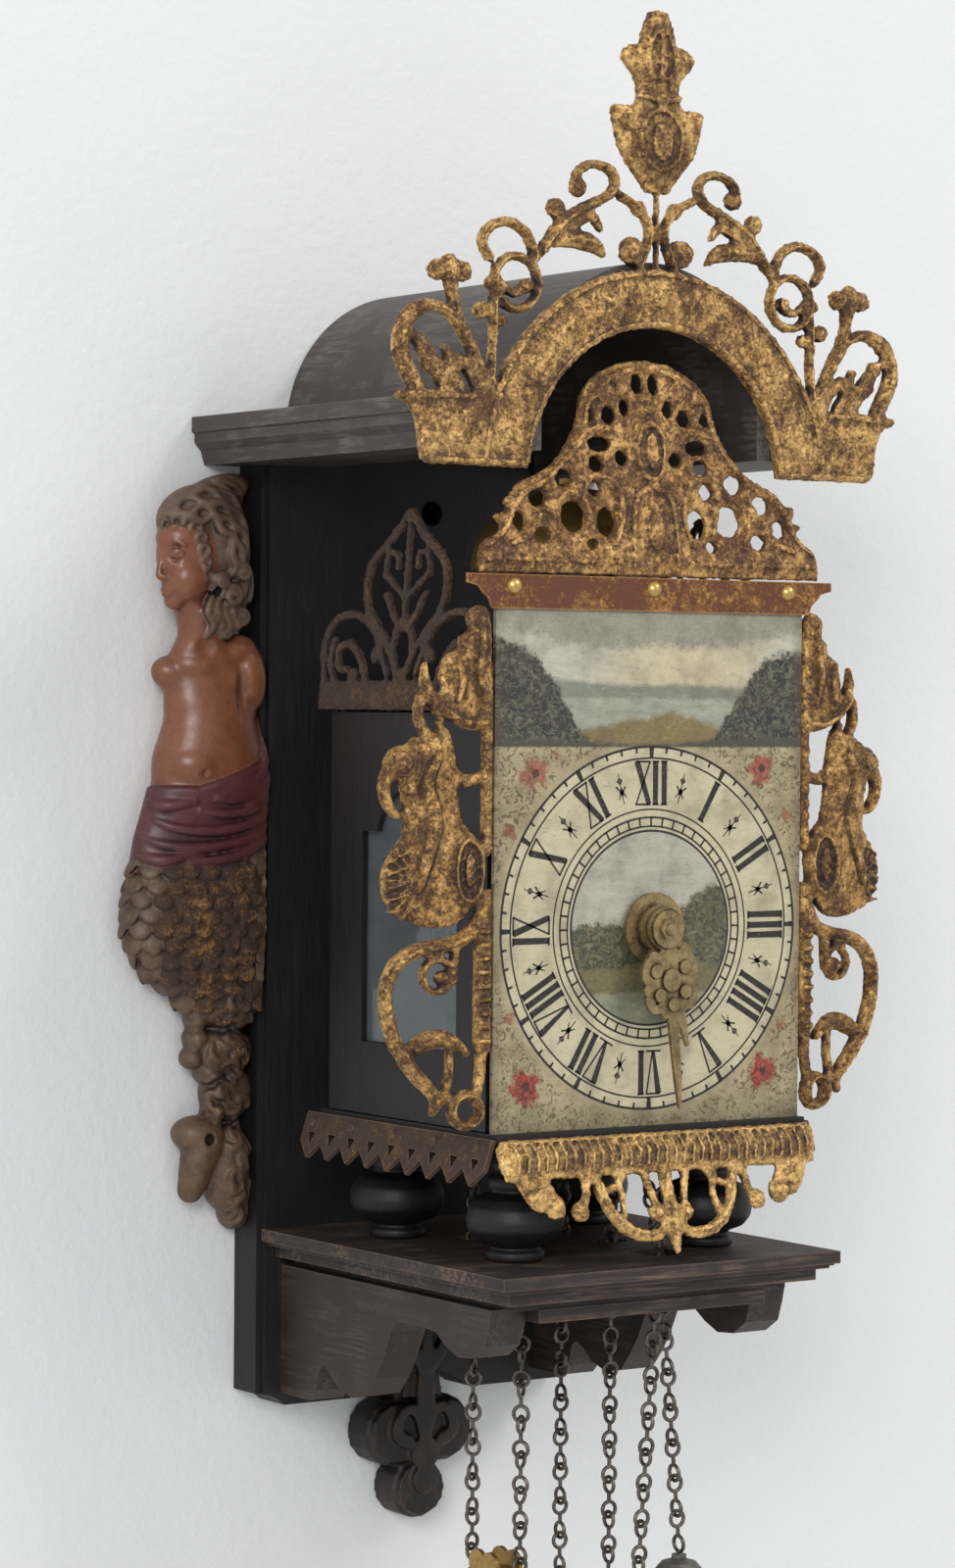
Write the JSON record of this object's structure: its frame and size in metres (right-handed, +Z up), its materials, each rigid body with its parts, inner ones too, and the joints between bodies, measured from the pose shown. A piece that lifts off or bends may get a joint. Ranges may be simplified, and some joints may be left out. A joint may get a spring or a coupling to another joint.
{
  "type": "wall clock",
  "caption": "Weight driven wall clock on a carved bracket with its own roof: pierced crest and frets, painted dial, glazed side doors, striking and alarm trains, chains and weights.",
  "frame": {"origin": "middle of the hanging hole on the wall face of the back board", "axes": "+Y into the wall, +Z up, the dial faces -Y"},
  "size_m": [0.326, 0.2275, 0.8833],
  "materials": {
    "black_oak": "black stained oak, worn",
    "brown_oak": "dark brown oak, worn at the edges",
    "carved_figure": "painted and gilt wood carving",
    "gilt": "worn gilt casting over a red-brown ground",
    "dark_gilt": "darkened gilt casting",
    "iron": "forged iron, dark",
    "chain_iron": "forged iron, dark",
    "dial_paint": "oil painted dial, aged",
    "brass": "aged brass",
    "wheel_brass": "aged brass",
    "door_paint": "black painted wood",
    "pane": "old window glass",
    "lead": "dull grey metal"
  },
  "bodies": {
    "clock": {"back_board": "black_oak", "carved_pendant": "black_oak", "mermaid_left": "carved_figure", "mermaid_right": "carved_figure", "roof_ledges": "black_oak", "roof_vault": "black_oak", "crest_arch": "gilt", "crest_leaves": "gilt", "shelf_board": "brown_oak", "aprons": "brown_oak", "bun_feet": "black_oak", "base_plate": "black_oak", "top_plate": "black_oak", "case_frame": "iron", "dial_plate": "dial_paint", "head_strip": "dark_gilt", "strip_nails": "brass", "front_top_fret": "dark_gilt", "side_top_fret_left": "dark_gilt", "side_top_fret_right": "dark_gilt", "side_fret_left": "gilt", "side_fret_right": "gilt", "front_skirt": "gilt", "side_skirts": "gilt", "centre_stud": "brass", "cocks": "iron", "bell": "brass", "sprocket_chain": "chain_iron"},
    "door_left": {"side_door_left": "door_paint", "door_glass_left": "pane"},
    "door_right": {"side_door_right": "door_paint", "door_glass_right": "pane"},
    "going_drive": {"great_wheel": "wheel_brass"},
    "minute_work": {"minute_wheel": "wheel_brass", "minute_hand": "brass"},
    "hour_work": {"hour_wheel": "wheel_brass", "hour_hand": "brass"},
    "alarm_setting": {"alarm_disc": "brass"},
    "second_train": {"second_wheel": "wheel_brass"},
    "contrate_train": {"contrate_wheel": "wheel_brass"},
    "escape_train": {"crown_wheel": "wheel_brass"},
    "verge_swing": {"verge": "iron"},
    "strike_drive": {"strike_wheel": "wheel_brass"},
    "count_train": {"count_wheel": "wheel_brass"},
    "lock_train": {"lock_wheel": "wheel_brass"},
    "fly_train": {"fly": "iron"},
    "strike_hammer": {"hammer": "iron"},
    "lifting": {"lifting_lever": "iron"},
    "alarm_drive": {"alarm_wheel": "wheel_brass"},
    "alarm_striker": {"alarm_hammer": "iron"},
    "main_load": {"main_weight": "lead", "main_chain": "chain_iron"},
    "main_roller": {"main_pulley": "brass"},
    "counter_load": {"counter_weight": "lead", "counter_chain": "chain_iron"},
    "counter_roller": {"counter_pulley": "brass"},
    "alarm_load": {"alarm_weight": "lead", "alarm_chain": "chain_iron"},
    "alarm_counter_load": {"alarm_counter": "lead", "alarm_counter_chain": "chain_iron"}
  },
  "joints": [
    {"name": "door_left_hinge", "type": "hinge", "parent": "clock", "child": "door_left", "pos_m": [-0.082, -0.0692, -0.1874], "axis": [0, 0, 1], "range_deg": [-90, 0]},
    {"name": "door_right_hinge", "type": "hinge", "parent": "clock", "child": "door_right", "pos_m": [0.082, -0.0692, -0.1874], "axis": [0, 0, 1], "range_deg": [0, 90]},
    {"name": "great_spin", "type": "hinge", "parent": "clock", "child": "going_drive", "pos_m": [0, -0.14088, -0.2324], "axis": [0, 1, 0], "continuous": true},
    {"name": "minute_spin", "type": "hinge", "parent": "clock", "child": "minute_work", "pos_m": [0, -0.2032, -0.1917], "axis": [0, 1, 0], "continuous": true},
    {"name": "hour_spin", "type": "hinge", "parent": "clock", "child": "hour_work", "pos_m": [0, -0.2032, -0.1917], "axis": [0, 1, 0], "continuous": true},
    {"name": "alarm_set", "type": "hinge", "parent": "hour_work", "child": "alarm_setting", "pos_m": [0, -0.2072, -0.1917], "axis": [0, 1, 0], "continuous": true},
    {"name": "second_spin", "type": "hinge", "parent": "clock", "child": "second_train", "pos_m": [0, -0.1632, -0.1946], "axis": [0, 1, 0], "continuous": true},
    {"name": "contrate_spin", "type": "hinge", "parent": "clock", "child": "contrate_train", "pos_m": [0, -0.1632, -0.1652], "axis": [0, 1, 0], "continuous": true},
    {"name": "escape_spin", "type": "hinge", "parent": "clock", "child": "escape_train", "pos_m": [0, -0.1588, -0.0924], "axis": [0, 0, 1], "continuous": true},
    {"name": "verge_rock", "type": "hinge", "parent": "clock", "child": "verge_swing", "pos_m": [0, -0.1132, -0.0614], "axis": [0, 1, 0], "range_deg": [-8, 8]},
    {"name": "strike_spin", "type": "hinge", "parent": "clock", "child": "strike_drive", "pos_m": [0, -0.10152, -0.2324], "axis": [0, 1, 0], "continuous": true},
    {"name": "count_spin", "type": "hinge", "parent": "clock", "child": "count_train", "pos_m": [0, -0.0732, -0.2024], "axis": [0, 1, 0], "continuous": true},
    {"name": "lock_spin", "type": "hinge", "parent": "clock", "child": "lock_train", "pos_m": [0, -0.0982, -0.1946], "axis": [0, 1, 0], "continuous": true},
    {"name": "fly_spin", "type": "hinge", "parent": "clock", "child": "fly_train", "pos_m": [0, -0.0982, -0.1722], "axis": [0, 1, 0], "continuous": true},
    {"name": "hammer_lift", "type": "hinge", "parent": "clock", "child": "strike_hammer", "pos_m": [0.046, -0.1082, -0.2104], "axis": [0, 1, 0], "range_deg": [0, 3], "stiffness_Nm_per_rad": 0.3, "springref_deg": -2.86},
    {"name": "lever_lift", "type": "hinge", "parent": "clock", "child": "lifting", "pos_m": [-0.044, -0.1032, -0.1924], "axis": [0, 1, 0], "range_deg": [-6, 0]},
    {"name": "alarm_spin", "type": "hinge", "parent": "clock", "child": "alarm_drive", "pos_m": [0.019, -0.1792, -0.2604], "axis": [1, 0, 0], "continuous": true},
    {"name": "alarm_rock", "type": "hinge", "parent": "clock", "child": "alarm_striker", "pos_m": [0.058, -0.1792, -0.0924], "axis": [0, 0, 1], "range_deg": [-6, 6]},
    {"name": "main_travel", "type": "slide", "parent": "clock", "child": "main_load", "axis": [0, 0, 1], "range_m": [-0.15, 0.05], "deforming": ["main_chain"]},
    {"name": "counter_travel", "type": "slide", "parent": "clock", "child": "counter_load", "axis": [0, 0, 1], "range_m": [-0.05, 0.15], "deforming": ["counter_chain"]},
    {"name": "alarm_travel", "type": "slide", "parent": "clock", "child": "alarm_load", "axis": [0, 0, 1], "range_m": [-0.15, 0.03], "deforming": ["alarm_chain"]},
    {"name": "alarm_counter_travel", "type": "slide", "parent": "clock", "child": "alarm_counter_load", "axis": [0, 0, 1], "range_m": [-0.03, 0.15], "deforming": ["alarm_counter_chain"]},
    {"name": "main_roller_spin", "type": "hinge", "parent": "main_load", "child": "main_roller", "pos_m": [-0.02508, -0.1212, -0.5095], "axis": [1, 0, 0], "continuous": true},
    {"name": "counter_roller_spin", "type": "hinge", "parent": "counter_load", "child": "counter_roller", "pos_m": [0.02508, -0.1212, -0.5421], "axis": [1, 0, 0], "continuous": true}
  ],
  "couplings": [
    {"joint": "minute_spin", "follows": "great_spin", "ratio": -1},
    {"joint": "hour_spin", "follows": "great_spin", "ratio": -0.083333},
    {"joint": "second_spin", "follows": "great_spin", "ratio": -8},
    {"joint": "contrate_spin", "follows": "great_spin", "ratio": 48},
    {"joint": "escape_spin", "follows": "great_spin", "ratio": 288},
    {"joint": "count_spin", "follows": "strike_spin", "ratio": -0.15385},
    {"joint": "lock_spin", "follows": "strike_spin", "ratio": -8},
    {"joint": "fly_spin", "follows": "strike_spin", "ratio": 48},
    {"joint": "counter_travel", "follows": "main_travel", "ratio": -1},
    {"joint": "alarm_counter_travel", "follows": "alarm_travel", "ratio": -1}
  ]
}
